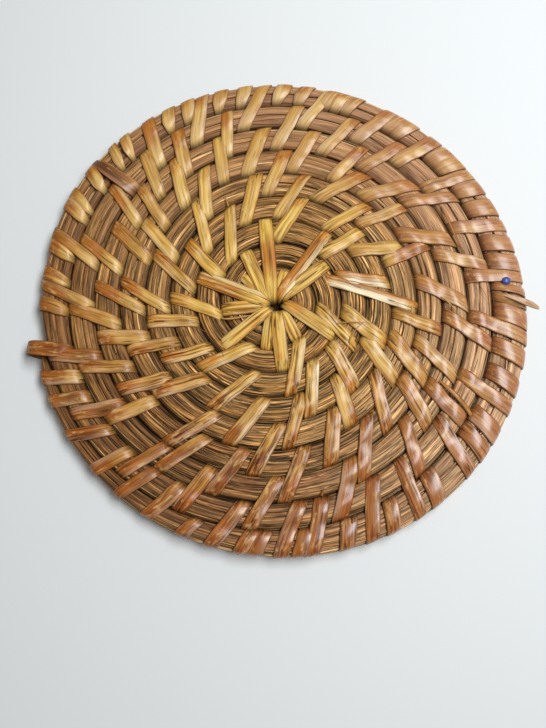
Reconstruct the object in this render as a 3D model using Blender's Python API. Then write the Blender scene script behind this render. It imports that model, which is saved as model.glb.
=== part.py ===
"""Round coiled rattan mat, about 182 mm across, lying flat.

A bundle of rattan core is wound in one spiral, and each turn is sewn to the turn before it
with flat rattan peel. The mat is one piece, so it is one closed solid: a torus whose points
are moved to the coil's section, and its stitches are raised in the top face.
Metres, +Z up, origin on the surface that it rests on, under the middle of the mat.
"""

import math
from collections import namedtuple

import bpy
import numpy as np

# The coil
RIM_RADIUS = 0.0905
RIM_OVAL = 0.0010
RIM_OVAL_ANGLE = math.radians(-21)
RIM_SHIFT = 0.00045
HOLE_RADIUS = 0.0021
CORE_TOP = 0.0083
RIM_HEIGHT = 0.0042
TURN_PITCH = 0.0094
GROOVE_DEPTH = 0.0029
UNDER_GROOVE_DEPTH = 0.0017
UNDER_FLAT_SHARE = 0.5
FIRST_GROOVE_RADIUS = 0.0813
OFF_CENTRE = 0.0030
OFF_CENTRE_ANGLE = math.radians(123)
TAIL_END_ANGLE = math.radians(190)
TAIL_TIP_ARC = 0.003
TAIL_STEP = 0.0023
TAIL_STEP_START = math.radians(145)
TAIL_STEP_END = math.radians(175)

# The binding
PEEL_WIDTH = 0.0058
PEEL_THICKNESS = 0.0008
PEEL_EDGE = 0.0007
STITCH_SAG = 0.0008
END_TUCK = 0.13
SAG_REACH = 0.5
WRAP_LEAN = 2.6
END_LOOP_STANDOFF = 0.0028
END_LOOP_ANGLE = math.radians(190.5)

# The fine torus that is shaped, and the share of its faces that is kept
ROUND_STEPS = 540
SECTION_STEPS = 264
KEPT_FACES = 0.080
FLAT_SNAP = 0.00012

Turn = namedtuple("Turn", "groove starts ends")
Leg = namedtuple("Leg", "angle reach")
Stitch = namedtuple("Stitch", "groove start last_groove end")

# One row for each turn, from the rim inwards. groove is the spiral groove that the turn's
# stitches start in, 0 for the first one inside the rim; they end two grooves further in.
# starts and ends are whole degrees, counter-clockwise from +X.
TURNS = (
    Turn(2, (198, 204, 213, 223, 231, 239, 255, 271, 278, 292, 304, 319, 336, 353),
         (201, 207, 218, 226, 235, 243, 261, 277, 283, 299, 308, 325, 340, 358)),
    Turn(1, (8, 21, 36, 48, 61, 77, 94, 110, 125, 142, 162, 175, 193, 209, 228,
             245, 263, 286, 310, 328, 350),
         (10, 26, 41, 53, 67, 84, 102, 117, 130, 141, 168, 181, 197, 214, 233,
          249, 271, 296, 318, 333, 358)),
    Turn(0, (12, 33, 54, 69, 85, 105, 120, 131, 144, 161, 181, 198, 215, 235,
             251, 272, 296, 321, 338),
         (20, 42, 61, 76, 92, 109, 125, 137, 150, 168, 188, 204, 219, 243,
          258, 281, 309, 330, 347)),
    Turn(-1, (1, 22, 43, 63, 79, 95, 110, 125, 139, 154, 174, 191, 209, 232,
              262, 288, 311, 333, 352),
         (12, 33, 55, 69, 86, 104, 114, 133, 145, 161, 183, 195, 215, 242,
          272, 299, 326, 346, 358)),
    Turn(-2, (24, 40, 58, 88, 118, 148, 171, 198, 216, 251, 274, 301, 327),
         (24, 48, 73, 97, 129, 156, 183, 201, 227, 263, 285, 310, 341)),
    Turn(-3, (27, 50, 79, 100, 128, 157, 188, 206, 238, 286, 312, 341),
         (40, 61, 92, 113, 143, 170, 192, 213, 254, 303, 324, 358)),
    Turn(-4, (13, 44, 78, 116, 145, 176, 220, 278, 332),
         (30, 53, 95, 138, 154, 192, 240, 305, 361)),
)
STITCH_TURNS = 2

# Where the rim has a wrap over its outermost turn alone
RIM_WRAPS = (
    1, 4, 11, 16, 25, 31, 40, 43, 55, 58, 70, 73, 76, 83, 89, 99, 105, 114, 119, 132, 136,
    144, 151, 154, 165, 172, 180, 248, 262, 265, 275, 286, 297, 309, 324, 329, 341, 348, 357,
)

# The one stitch that was drawn right across to the star
LONG_STITCH = Stitch(-3, 0, -6.55, 36)

# The star of the first wraps, which come up through the hole
LEGS = (
    Leg(98, 0.0340), Leg(54, 0.0355), Leg(39, 0.0245), Leg(327, 0.0250), Leg(277, 0.0245),
    Leg(260, 0.0170), Leg(302, 0.0145), Leg(219, 0.0275), Leg(184, 0.0205), Leg(158, 0.0325),
    Leg(119, 0.0245), Leg(137, 0.0185), Leg(72, 0.0135),
)


def smooth(low, high, value):
    """0 below low, 1 above high, and a smooth rise between them."""
    share = np.clip((value - low) / (high - low), 0, 1)
    return share * share * (3 - 2 * share)


def turned(angle):
    """An angle brought into the half turn either side of 0."""
    return (angle + math.pi) % (2 * math.pi) - math.pi


def groove_radius(groove, angle):
    """Radius of a groove at an angle from 0 to a full turn; the spiral falls one pitch a turn."""
    off_centre = OFF_CENTRE * np.cos(angle - OFF_CENTRE_ANGLE)
    return FIRST_GROOVE_RADIUS + off_centre + TURN_PITCH * (groove - angle / (2 * math.pi))


def groove_number(radius, angle):
    """The inverse of groove_radius: whole numbers lie in the grooves, halves on the crowns."""
    return (radius - groove_radius(0, angle)) / TURN_PITCH


def last_groove(angle):
    """The groove inside the outermost turn: the tail adds one turn past the angle where it ends."""
    tail_width = TAIL_TIP_ARC / RIM_RADIUS
    return smooth(TAIL_END_ANGLE - tail_width, TAIL_END_ANGLE + tail_width, angle)


def round_edge(angle):
    """The outer edge of a mat with no tail, a little oval."""
    oval = RIM_OVAL * np.cos(2 * (angle - RIM_OVAL_ANGLE))
    return RIM_RADIUS + oval + RIM_SHIFT * np.cos(angle)


def rim_radius(angle):
    """The coil's outer edge, which steps out where the tail begins."""
    step = TAIL_STEP * smooth(TAIL_STEP_START, TAIL_STEP_END, angle) * (1 - last_groove(angle))
    return round_edge(angle) - step


def dome(share, flat_share, power=2.4):
    """1 over a turn's crown and 0 in the grooves beside it, for a share from 0 to 1 across it."""
    across = np.abs(2 * share - 1)
    slope = np.clip((across - flat_share) / (1 - flat_share), 0, 1)
    return (1 - slope**power) ** 0.8


def outer_turn_share(radius, angle):
    """How far a point is across the outermost turn: below 0 inside it, 1 at the rim."""
    inner_edge = groove_radius(np.round(last_groove(angle)), angle)
    return (radius - inner_edge) / (rim_radius(angle) - inner_edge)


def coil_heights(radius, angle):
    """Heights of the bare coil's top and underside, and the radial part of the rim's normal."""
    share = groove_number(radius, angle) % 1.0
    top = CORE_TOP - GROOVE_DEPTH * (1 - dome(share, 0.0))
    under = UNDER_GROOVE_DEPTH * (1 - dome(share, UNDER_FLAT_SHARE, 1.6))

    across = outer_turn_share(radius, angle)
    inner_edge = groove_radius(np.round(last_groove(angle)), angle)
    width_share = np.clip((rim_radius(angle) - inner_edge) / TURN_PITCH, 0.15, 1) ** 0.4
    inside = across > 0
    own_dome = dome(np.clip(across, 0, 1), 0.0)
    crown = RIM_HEIGHT + (CORE_TOP - RIM_HEIGHT) * width_share
    floor = CORE_TOP - GROOVE_DEPTH
    outward = np.clip(2 * across - 1, 0, 1)
    upright = np.sqrt(1 - outward**2)
    top = np.where(inside, floor + (crown - floor) * own_dome, top)
    top = np.where(outward > 0, RIM_HEIGHT + (crown - RIM_HEIGHT) * upright, top)
    under_crown = RIM_HEIGHT * (1 - width_share)
    under = np.where(inside, np.maximum(under, under_crown), under)
    under = np.where(outward > 0, RIM_HEIGHT - (RIM_HEIGHT - under_crown) * upright, under)

    into_hole = np.clip(1 - (radius - HOLE_RADIUS) / HOLE_RADIUS, 0, 1)
    lip = np.sqrt(1 - into_hole**2)
    top = RIM_HEIGHT + (top - RIM_HEIGHT) * lip
    under = RIM_HEIGHT + (under - RIM_HEIGHT) * lip
    return top, under, outward


def starts_at_rim(stitch):
    """Whether a stitch comes round the rim and not out of a groove."""
    start = math.radians(stitch.start)
    return float(groove_radius(stitch.groove, start)) > float(rim_radius(start)) - TURN_PITCH / 3


def plan_ends(stitch):
    """The two ends of a stitch in plan, the outer one first."""
    start, end = math.radians(stitch.start), math.radians(stitch.end)
    outer = float(rim_radius(start) if starts_at_rim(stitch) else groove_radius(stitch.groove, start))
    inner = float(groove_radius(stitch.last_groove, end))
    return (
        np.array([outer * math.cos(start), outer * math.sin(start)]),
        np.array([inner * math.cos(end), inner * math.sin(end)]),
    )


def off_line(x, y, first, last):
    """Distance of each point from the straight line through two points in plan."""
    heading = (last - first) / np.linalg.norm(last - first)
    return np.abs((x - first[0]) * heading[1] - (y - first[1]) * heading[0])


def peel_side(across):
    """1 on a strap of peel and 0 beside it."""
    return 1 - smooth(PEEL_WIDTH / 2 - PEEL_EDGE, PEEL_WIDTH / 2, across)


def strap_cover(radius, angle, stitch):
    """Groove number under a stitch, share along it from its outer end, and how fully it covers."""
    start = math.radians(stitch.start)
    apart = turned(angle - start)
    number = groove_number(radius, start + apart)
    rim_number = groove_number(rim_radius(angle), start + apart)
    outer_end = rim_number if starts_at_rim(stitch) else np.minimum(stitch.groove, rim_number)
    along = (outer_end - number) / np.maximum(outer_end - stitch.last_groove, 0.3)
    across = off_line(radius * np.cos(angle), radius * np.sin(angle), *plan_ends(stitch))
    within = (along > -0.02) & (along < 1.0) & (np.abs(apart) < math.pi / 2)
    return number, along, np.where(within, peel_side(across), 0)


def raise_strap(top, lift, outward, stitch, number, along, cover):
    """Lays one strap over the top face: it sags over a groove that it crosses and dives at its ends.

    On the outer half of the outermost turn it follows the coil, and lift is how fully it is there.
    """
    from_rim = starts_at_rim(stitch)
    dips = smooth(0, END_TUCK, 1 - along)
    if not from_rim:
        dips = dips * smooth(0, END_TUCK, along)
    inside = (number < stitch.groove - SAG_REACH) & (number > stitch.last_groove + SAG_REACH)
    near_groove = np.where(inside, 1 - np.abs(number - np.round(number)) / SAG_REACH, 0)
    crest = CORE_TOP + PEEL_THICKNESS - STITCH_SAG * smooth(0, 1, near_groove)
    floor = CORE_TOP - GROOVE_DEPTH
    strap = floor + (crest - floor) * dips
    on_rim = from_rim & (outward > 0)
    strap = np.where(on_rim, top, strap)
    raised = np.maximum(top, strap)
    lift = np.where(on_rim, np.maximum(lift, cover), lift)
    return top + (raised - top) * cover, lift


def stitches():
    """Every stitch that is not in the star: those over two turns, the rim's wraps and the long one."""
    found = [
        Stitch(turn.groove, start, turn.groove - STITCH_TURNS, end)
        for turn in TURNS
        for start, end in zip(turn.starts, turn.ends)
    ]
    for start in RIM_WRAPS:
        groove = 1 + round(float(last_groove(math.radians(start))))
        found.append(Stitch(groove, start, groove - 1, start + WRAP_LEAN))
    return found + [LONG_STITCH]


def raise_star(top, radius, angle):
    """Lays the legs of the centre star, each straight out from the hole."""
    for leg in LEGS:
        apart = turned(angle - math.radians(leg.angle))
        side = peel_side(np.abs(radius * np.sin(apart)))
        ahead = np.abs(apart) < math.pi / 2
        end = smooth(0, 2 * PEEL_EDGE, leg.reach - radius)
        lip = smooth(HOLE_RADIUS, 2.5 * HOLE_RADIUS, radius)
        crest = CORE_TOP - PEEL_THICKNESS + 2 * PEEL_THICKNESS * lip
        cover = np.where(ahead, side * end * lip, 0)
        top = top + (np.maximum(top, crest) - top) * cover
    return top


def shaped_points(points):
    """Moves the points of a flat-lying torus to the mat's own section."""
    x, y, z = points.T
    angle = np.arctan2(y, x) % (2 * math.pi)
    torus_radius = np.hypot(x, y)
    share = (torus_radius - HOLE_RADIUS) / (RIM_RADIUS - HOLE_RADIUS)
    radius = HOLE_RADIUS + np.clip(share, 0, 1) * (rim_radius(angle) - HOLE_RADIUS)
    bare, under, outward = coil_heights(radius, angle)

    top = bare
    lift = np.zeros_like(radius)
    for stitch in stitches():
        top, lift = raise_strap(top, lift, outward, stitch, *strap_cover(radius, angle, stitch))
    top = raise_star(top, radius, angle)

    beside_loop = np.abs(turned(angle - END_LOOP_ANGLE)) * radius
    loop = 1 - smooth(0.35 * PEEL_WIDTH, 0.65 * PEEL_WIDTH, beside_loop)
    stand_off = PEEL_THICKNESS * lift + END_LOOP_STANDOFF * loop * smooth(0, 1, outward)
    wrapped = bare + PEEL_THICKNESS * lift * np.sqrt(1 - outward**2)
    height = np.where(z > 0, np.maximum(top, wrapped), under)
    height = np.where(np.abs(z) < 1e-7, RIM_HEIGHT, height)
    radius = radius + stand_off * outward
    return np.stack([radius * np.cos(angle), radius * np.sin(angle), height], 1)


def move_points(mesh, mover):
    """Moves every point of a mesh by a function of all its points."""
    flat = np.empty(3 * len(mesh.vertices), np.float32)
    mesh.vertices.foreach_get("co", flat)
    moved = mover(flat.reshape(-1, 3).astype(float))
    mesh.vertices.foreach_set("co", moved.astype(np.float32).ravel())
    mesh.update()


def settled(points):
    """Flattens what the thinning left just off the base, and centres the mat, its end loop included."""
    points[:, 2] = np.where(points[:, 2] < FLAT_SNAP, 0.0, points[:, 2])
    middle = (points.min(axis=0) + points.max(axis=0)) / 2
    return points - middle * (1, 1, 0)


def thin_out(mat):
    """Keeps the share of the faces that the shape needs, and applies it."""
    decimate = mat.modifiers.new("thin_out", "DECIMATE")
    decimate.decimate_type = "COLLAPSE"
    decimate.ratio = KEPT_FACES
    decimate.use_collapse_triangulate = True
    bpy.ops.object.modifier_apply(modifier=decimate.name)


def make_mat():
    """The coil with its raised stitches."""
    bpy.ops.mesh.primitive_torus_add(
        major_segments=ROUND_STEPS,
        minor_segments=SECTION_STEPS,
        major_radius=(RIM_RADIUS + HOLE_RADIUS) / 2,
        minor_radius=(RIM_RADIUS - HOLE_RADIUS) / 2,
    )
    mat = bpy.context.object
    mat.name = "rattan_coil"
    mat.data.name = mat.name
    move_points(mat.data, shaped_points)
    thin_out(mat)
    move_points(mat.data, settled)
    return mat


def rattan():
    """Brown, dull, oiled rattan."""
    material = bpy.data.materials.new("rattan")
    material.use_nodes = True
    shader = material.node_tree.nodes["Principled BSDF"]
    shader.inputs["Base Color"].default_value = (0.36, 0.18, 0.07, 1)
    shader.inputs["Roughness"].default_value = 0.5
    shader.inputs["Metallic"].default_value = 0.0
    return material


def main():
    for old in list(bpy.data.objects):
        bpy.data.objects.remove(old)
    collection = bpy.data.collections.new("rattan_mat")
    bpy.context.scene.collection.children.link(collection)
    mat = make_mat()
    for home in list(mat.users_collection):
        home.objects.unlink(mat)
    collection.objects.link(mat)
    mat.data.materials.append(rattan())


main()
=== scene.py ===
"""The looks of a round mat of coiled, smoked rattan, lying flat.

A bundle of split core runs in one spiral, and flat peel sews each round to the one before it.
Metres, +Z up, in the frame of the CAD model. The hole in the middle is the spiral's centre.
"""

import math
import random
from collections import namedtuple

import bpy
import numpy as np
from mathutils import Matrix, Vector


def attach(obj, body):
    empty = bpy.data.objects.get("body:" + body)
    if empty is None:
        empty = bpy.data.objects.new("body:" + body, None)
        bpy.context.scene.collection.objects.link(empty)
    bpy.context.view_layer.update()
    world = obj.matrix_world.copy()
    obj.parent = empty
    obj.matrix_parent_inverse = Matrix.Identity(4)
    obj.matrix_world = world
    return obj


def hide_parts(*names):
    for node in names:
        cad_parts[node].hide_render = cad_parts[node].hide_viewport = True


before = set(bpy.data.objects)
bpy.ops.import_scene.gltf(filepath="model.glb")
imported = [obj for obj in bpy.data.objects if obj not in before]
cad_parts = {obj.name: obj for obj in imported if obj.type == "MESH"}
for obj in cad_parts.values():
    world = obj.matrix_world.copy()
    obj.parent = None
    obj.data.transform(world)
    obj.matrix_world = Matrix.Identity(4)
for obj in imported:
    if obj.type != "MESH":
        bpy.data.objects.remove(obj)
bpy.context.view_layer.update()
random.seed(7)
MM = 0.001
TURN = 2 * math.pi

# Sizes of the coil
HOLE = (-0.66 * MM, 0.06 * MM)
HOLE_RADIUS = 2.1 * MM
RIM_RADIUS = 91.3 * MM
RIM_OVAL = 1.0 * MM
RIM_OVAL_ANGLE = math.radians(-21)
RIM_SHIFT = 0.45 * MM
ROUND_PITCH = 9.4 * MM
FIRST_GROOVE_RADIUS = 81.2 * MM
OFF_CENTRE = 3.0 * MM
OFF_CENTRE_ANGLE = math.radians(123)
TAIL_ANGLE = math.radians(190)
TAIL_STEP = 2.3 * MM
TAIL_STEP_START = math.radians(145)
TAIL_STEP_END = math.radians(175)
TAIL_TIP = 14 * MM
# Where the coil is narrower than this, its height falls with this power of its width
TAIL_FULL_WIDTH = 9.0 * MM
TAIL_THINNING = 0.45
CORE_MIDDLE = 4.55 * MM
CORE_RISE = 3.65 * MM
CORE_OVERLAP = 0.06 * MM
CORE_GIRTH = 26.5 * MM
# The angle at which the core ends in the middle, and how far apart the sections of its strands are
CORE_END = 7.62 * TURN
CORE_STEP = 2.6 * MM
CORE_STRANDS = 13
STRAND_OVERLAP = 1.34
STRAND_THICKNESS = 1.25 * MM
HEART_WIDTH = 6.6 * MM
HEART_THICKNESS = 5.4 * MM

# Sizes of the peel
PEEL_WIDTH = 5.15 * MM
WRAP_WIDTH = 5.0 * MM
LONG_STITCH_WIDTH = 4.6 * MM
END_LOOP_WIDTH = 5.6 * MM
PEEL_THICKNESS = 0.65 * MM
PEEL_CROWN = 0.22 * MM
RISE_OVER_CORE = 4.25 * MM
RISE_UNDER_CORE = 3.92 * MM
SAG = 1.05 * MM
SAG_REACH = 2.9 * MM
SLIVER_THICKNESS = 0.35 * MM

# The star's pile: how much higher each next leg lies, and how far from the hole it starts to climb
LEG_STEP = 0.55 * MM
LEG_CLIMB = 11 * MM

Turn = namedtuple("Turn", "groove starts ends")
Leg = namedtuple(
    "Leg", "angle reach inner_x inner_y width level twist smoke stain stain_from stain_to side cream"
)
Sliver = namedtuple("Sliver", "smoke stain cream widths points")

# One row for each turn of stitches, from the rim inwards. groove is the groove that they start
# in, 0 for the first one inside the rim; they end two grooves further in. starts and ends are
# whole degrees, counter-clockwise from +X.
TURNS = (
    Turn(2, (198, 204, 213, 223, 231, 239, 255, 271, 278, 292, 304, 319, 336, 353),
         (201, 207, 218, 226, 235, 243, 261, 277, 283, 299, 308, 325, 340, 358)),
    Turn(1, (8, 21, 36, 48, 61, 77, 94, 110, 125, 142, 162, 175, 193, 209, 228,
             245, 263, 286, 310, 328, 350),
         (10, 26, 41, 53, 67, 84, 102, 117, 130, 141, 168, 181, 197, 214, 233,
          249, 271, 296, 318, 333, 358)),
    Turn(0, (12, 33, 54, 69, 85, 105, 120, 131, 144, 161, 181, 198, 215, 235,
             251, 272, 296, 321, 338),
         (20, 42, 61, 76, 92, 109, 125, 137, 150, 168, 188, 204, 219, 243,
          258, 281, 309, 330, 347)),
    Turn(-1, (1, 22, 43, 63, 79, 95, 110, 125, 139, 154, 174, 191, 209, 232,
              262, 288, 311, 333, 352),
         (12, 33, 55, 69, 86, 104, 114, 133, 145, 161, 183, 195, 215, 242,
          272, 299, 326, 346, 358)),
    Turn(-2, (24, 40, 58, 88, 118, 148, 171, 198, 216, 251, 274, 301, 327),
         (24, 48, 73, 97, 129, 156, 183, 201, 227, 263, 285, 310, 341)),
    Turn(-3, (27, 50, 79, 100, 128, 157, 188, 206, 238, 286, 312, 341),
         (40, 61, 92, 113, 143, 170, 192, 213, 254, 303, 324, 358)),
    Turn(-4, (13, 44, 78, 116, 145, 176, 220, 278, 332),
         (30, 53, 95, 138, 154, 192, 240, 305, 361)),
)
SHORT_WRAPS = (
    1, 4, 11, 16, 26, 32, 40, 43, 55, 58, 70, 73, 76, 83, 89, 99, 105, 114, 119, 132, 136,
    144, 151, 154, 165, 172, 180, 248, 262, 265, 275, 286, 297, 309, 324, 329, 341, 348, 357,
)
WRAP_LEAN = math.radians(2.6)

# Stitches that differ from their neighbours: by groove and starting angle, what their look has
# instead, and the same for short wraps by their angle
ODD_STITCHES = {
    (1, 142): {
        "smoke": 0.72, "stain": 0.1, "golden": 0.0, "worn": 0.0, "cracks": 0.2, "twist": 2.2,
        "outer_pinch": 0.45, "width": 5.9 * MM, "lift": 0.25 * MM,
    },
    (-2, 24): {"stain": 0.9, "stain_to": 0.7, "copper": 0.0},
    (-4, 13): {"stain": 0.8, "stain_to": 1.2, "side": 1, "cream": 1.45, "parting": 0.0},
}
ODD_WRAPS = {
    1: {"width": 3.4 * MM, "smoke": 0.1, "stain": 0.2, "twist": 1.5},
    4: {"width": 3.6 * MM, "smoke": 0.15, "stain": 0.3, "twist": -1.5},
    132: {"width": 4.4 * MM, "twist": 1.2},
    136: {"width": 4.2 * MM, "twist": -1.0},
}

# A stitch that was drawn right across to the star: groove and degrees at each end
LONG_STITCH = (-3, 0, -6.55, 36)

# The loop at the end: degrees and radius outside, and the same inside
END_LOOP = (190.3, 93.6 * MM, 193.6, 77.5 * MM)

# Loose fibres and split ends: smoke, stain and cream, widths in millimetres along each, and its
# points as degrees, millimetres from the hole and millimetres from the table
SLIVERS = (
    Sliver(0.15, 0.0, 0.75, (0.5, 1.8, 2.5, 2.2, 1.1),
           ((3.4, 82.5, 9.3), (2.3, 87.0, 10.2), (1.0, 92.3, 9.6), (0.3, 96.2, 7.8))),
    Sliver(0.35, 0.0, 0.0, (0.3, 0.8, 0.7, 0.3),
           ((33, 72.8, 8.5), (29, 71.8, 9.5), (24, 71.3, 9.4), (19, 72.2, 8.5))),
    Sliver(0.60, 0.0, 0.0, (0.15, 0.25, 0.2, 0.1),
           ((12, 72.5, 9.0), (8, 73.5, 9.9), (4, 76.0, 9.7), (1, 77.7, 8.8))),
    Sliver(0.75, 0.0, 0.0, (0.1, 0.22, 0.2, 0.1),
           ((194, 33.5, 8.8), (201, 29.0, 9.9), (212, 26.6, 9.6), (225, 28.0, 8.7))),
    Sliver(0.05, 0.0, 0.0, (0.5, 0.9, 0.8, 0.3),
           ((194, 21.5, 8.3), (197, 18.7, 9.3), (199, 15.0, 9.4), (201, 10.5, 8.5))),
    Sliver(0.05, 0.0, 0.0, (0.15, 0.5, 0.4, 0.05),
           ((343, 22.0, 8.4), (347, 28.0, 10.2), (349, 34.0, 9.2))),
    Sliver(0.10, 0.0, 0.0, (0.15, 0.4, 0.3, 0.05),
           ((330, 30.0, 8.4), (338, 29.0, 10.2), (350, 32.0, 9.0))),
    Sliver(0.10, 0.0, 0.0, (0.2, 0.6, 0.5, 0.1),
           ((4, 59.9, 8.8), (1, 62.8, 9.9), (357, 66.6, 8.8))),
    Sliver(0.25, 0.1, 0.0, (0.8, 1.7, 1.8, 1.4),
           ((335, 64.5, 8.6), (333.6, 69.1, 9.7), (332.2, 74.3, 9.6), (330.3, 79.9, 8.4))),
    Sliver(0.55, 0.2, 0.0, (1.2, 0.7, 0.1),
           ((283, 70.5, 8.2), (283.7, 69.0, 9.3), (284.3, 67.8, 9.8))),
    Sliver(0.30, 0.0, 0.0, (1.0, 0.5, 0.1),
           ((117, 43.5, 8.2), (116.6, 45.6, 9.2), (116.4, 47.2, 9.7))),
)

# A dried drop of blue paint: degrees, and millimetres from the hole and from the table
DROP = (7.1, 84.7, 9.1)
DROP_RADIUS = 1.7 * MM

# The star of the first wraps, in millimetres: degrees and reach of the outer end and place of the
# inner one, from the hole, and width. level is its place in the pile. stain_from and stain_to are
# the shares of its length, from outside, that are orange, and side is the edge that is, 1 for the
# counter-clockwise one. cream is how pale the other edge is.
LEGS = (
    Leg(80, 14.0, -1.0, 3.4, 4.2, 0, 0.0, 0.15, 0.0, 0.0, 0.5, 0, 0.0),
    Leg(140, 18.0, -4.6, 1.8, 4.4, 0, 0.3, 0.15, 0.1, 0.0, 0.5, 0, 0.0),
    Leg(298, 14.5, 1.2, -1.5, 4.8, 0, -0.3, 0.12, 0.1, 0.0, 0.5, 0, 0.3),
    Leg(255, 17.5, -2.9, -1.7, 4.8, 0, 0.3, 0.25, 0.2, 0.0, 0.4, 0, 0.0),
    Leg(43, 24.5, 0.8, 2.8, 5.4, 0, 0.3, 0.02, 0.0, 0.0, 0.3, 0, 0.2),
    Leg(121.5, 25.0, -4.3, 1.5, 5.4, 1, 0.2, 0.12, 0.0, 0.0, 0.3, 0, 0.0),
    Leg(185, 21.5, -3.9, -0.1, 5.2, 0, -0.3, 0.25, 0.2, 0.0, 1.2, 0, 0.0),
    Leg(332, 23.5, 1.5, 1.3, 5.6, 1, 0.2, 0.16, 0.42, 0.60, 1.2, 1, 0.3),
    Leg(274, 24.5, -0.9, -1.9, 5.4, 2, 0.0, 0.14, 0.28, 0.1, 0.9, -1, 0.35),
    Leg(217.5, 26.5, -3.0, -0.9, 5.4, 1, 0.1, 0.10, 0.25, 0.1, 0.9, 1, 0.3),
    Leg(160.5, 32.5, -3.7, 0.9, 5.8, 2, -0.1, 0.12, 0.75, -0.2, 0.62, 1, 0.95),
    Leg(99.5, 35.0, -2.4, 1.8, 5.4, 2, 0.0, 0.06, 0.62, 0.30, 0.66, 0, 0.5),
    Leg(58, 34.5, -0.8, 2.3, 4.8, 3, 0.3, 0.15, 0.95, -0.2, 1.1, 1, 1.35),
)


def linear(code):
    """An sRGB hex colour as linear red, green, blue and alpha."""
    shares = [int(code[i : i + 2], 16) / 255 for i in (1, 3, 5)]
    return [s / 12.92 if s <= 0.04045 else ((s + 0.055) / 1.055) ** 2.4 for s in shares] + [1.0]


def smooth(low, high, value):
    share = np.clip((value - low) / (high - low), 0, 1)
    return share * share * (3 - 2 * share)


def powered(value, power):
    """A sine or cosine made boxier, its sign kept."""
    return np.sign(value) * np.abs(value) ** power


def polar(radius, angle):
    return np.stack([radius * np.cos(angle), radius * np.sin(angle)], -1)


def groove_radius(groove, angle):
    """Radius of a groove of the spiral. Past a full turn it falls one pitch further."""
    off_centre = OFF_CENTRE * np.cos(angle - OFF_CENTRE_ANGLE)
    return FIRST_GROOVE_RADIUS + off_centre + ROUND_PITCH * (groove - angle / TURN)


def rim_radius(angle):
    """The outer edge, a little oval, which steps out where the tail begins."""
    oval = RIM_OVAL * np.cos(2 * (angle - RIM_OVAL_ANGLE)) + RIM_SHIFT * np.cos(angle)
    at = angle % TURN
    step = TAIL_STEP * smooth(TAIL_STEP_START, TAIL_STEP_END, at) * (at < TAIL_ANGLE)
    return RIM_RADIUS + oval - step


def on_rim(groove, start):
    """Whether a wrap comes round the rim and not out of a groove."""
    return groove == 2 or (groove == 1 and start < TAIL_ANGLE)


# Meshes

def deselect():
    bpy.ops.object.select_all(action="DESELECT")


def points_of(mesh):
    flat = np.empty(3 * len(mesh.vertices), np.float32)
    mesh.vertices.foreach_get("co", flat)
    return flat.reshape(-1, 3).astype(float)


def put_points(mesh, points):
    mesh.vertices.foreach_set("co", np.asarray(points, np.float32).ravel())
    mesh.update()


def put_values(mesh, values):
    """Numbers for each point, which the materials read by their names."""
    for name, value in values.items():
        attribute = mesh.attributes.new(name, "FLOAT", "POINT")
        attribute.data.foreach_set("value", np.broadcast_to(value, len(mesh.vertices)).astype(np.float32))


def put_lengths(mesh, along, across, along_whole, across_whole):
    """A UV map in metres along and across the strip, unbroken where the mesh closes on itself."""
    loops = np.empty(len(mesh.loops), np.int32)
    mesh.loops.foreach_get("vertex_index", loops)
    uv = np.stack([along[loops], across[loops]], 1).reshape(-1, 4, 2)
    for axis, whole in enumerate((along_whole, across_whole)):
        low = uv[:, :, axis].max(axis=1, keepdims=True) - uv[:, :, axis] > whole / 2
        uv[:, :, axis] += whole * low
    layer = mesh.uv_layers[0]
    layer.name = "lengths"
    layer.data.foreach_set("uv", uv.astype(np.float32).ravel())


def new_tube(stations, sides):
    """A grid to roll into a tube, with each point's station along it and its turn around it."""
    deselect()
    bpy.ops.mesh.primitive_grid_add(x_subdivisions=stations - 1, y_subdivisions=sides, size=2)
    tube = bpy.context.object
    points = points_of(tube.data)
    index = np.rint((points[:, 0] + 1) / 2 * (stations - 1)).astype(int)
    turn = (points[:, 1] + 1) / 2 * TURN
    return tube, index, turn


def close_tube(tube, length, girth, offset=0.0):
    """Gives a rolled grid its UV map in metres, merges its seam and turns its faces outwards.

    length is how far along each station lies.
    """
    layer = tube.data.uv_layers[0]
    layer.name = "lengths"
    uv = np.empty(2 * len(tube.data.loops), np.float32)
    layer.data.foreach_get("uv", uv)
    uv = uv.reshape(-1, 2)
    stations = len(length)
    along = np.interp(uv[:, 0] * (stations - 1), np.arange(stations), length) + offset
    layer.data.foreach_set("uv", np.stack([along, uv[:, 1] * girth + offset], 1).astype(np.float32).ravel())
    bpy.ops.object.mode_set(mode="EDIT")
    bpy.ops.mesh.select_all(action="SELECT")
    bpy.ops.mesh.remove_doubles(threshold=0.002 * MM)
    bpy.ops.mesh.normals_make_consistent(inside=False)
    bpy.ops.object.mode_set(mode="OBJECT")


def joined(objects, name):
    """One piece out of several."""
    deselect()
    for piece in objects:
        piece.select_set(True)
    bpy.context.view_layer.objects.active = objects[0]
    bpy.ops.object.join()
    objects[0].name = name
    objects[0].data.name = name
    return objects[0]


def finished(piece, material):
    piece.data.materials.clear()
    piece.data.materials.append(material)
    deselect()
    piece.select_set(True)
    bpy.context.view_layer.objects.active = piece
    bpy.ops.object.shade_smooth()
    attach(piece, "root")
    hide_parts("rattan_coil")


# The peel

BAND_STEPS = 44
BAND_SIDES = 12

# How boxy a wrap is from its side: 2 is an ellipse, and more is squarer
STITCH_BOXY = 2.95
SHORT_WRAP_BOXY = 2.5
STAR_BOXY = 3.4
END_LOOP_BOXY = 2.3

# Powers that make the strip's section flat in its face and square at its edges
FACE_POWER = 0.3
EDGE_POWER = 0.4

# The least sine between a wrap's run and its width, so that a slanting one stays narrow
LEAST_SKEW = 0.55
# The share of its length at each end in which a wrap is narrower and flatter
END_SHARE = 0.16
# How far an edge stands up for a twist of 1
TWIST_RISE = 0.6 * MM
OUTER_PINCH_REACH = 7 * MM
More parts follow.
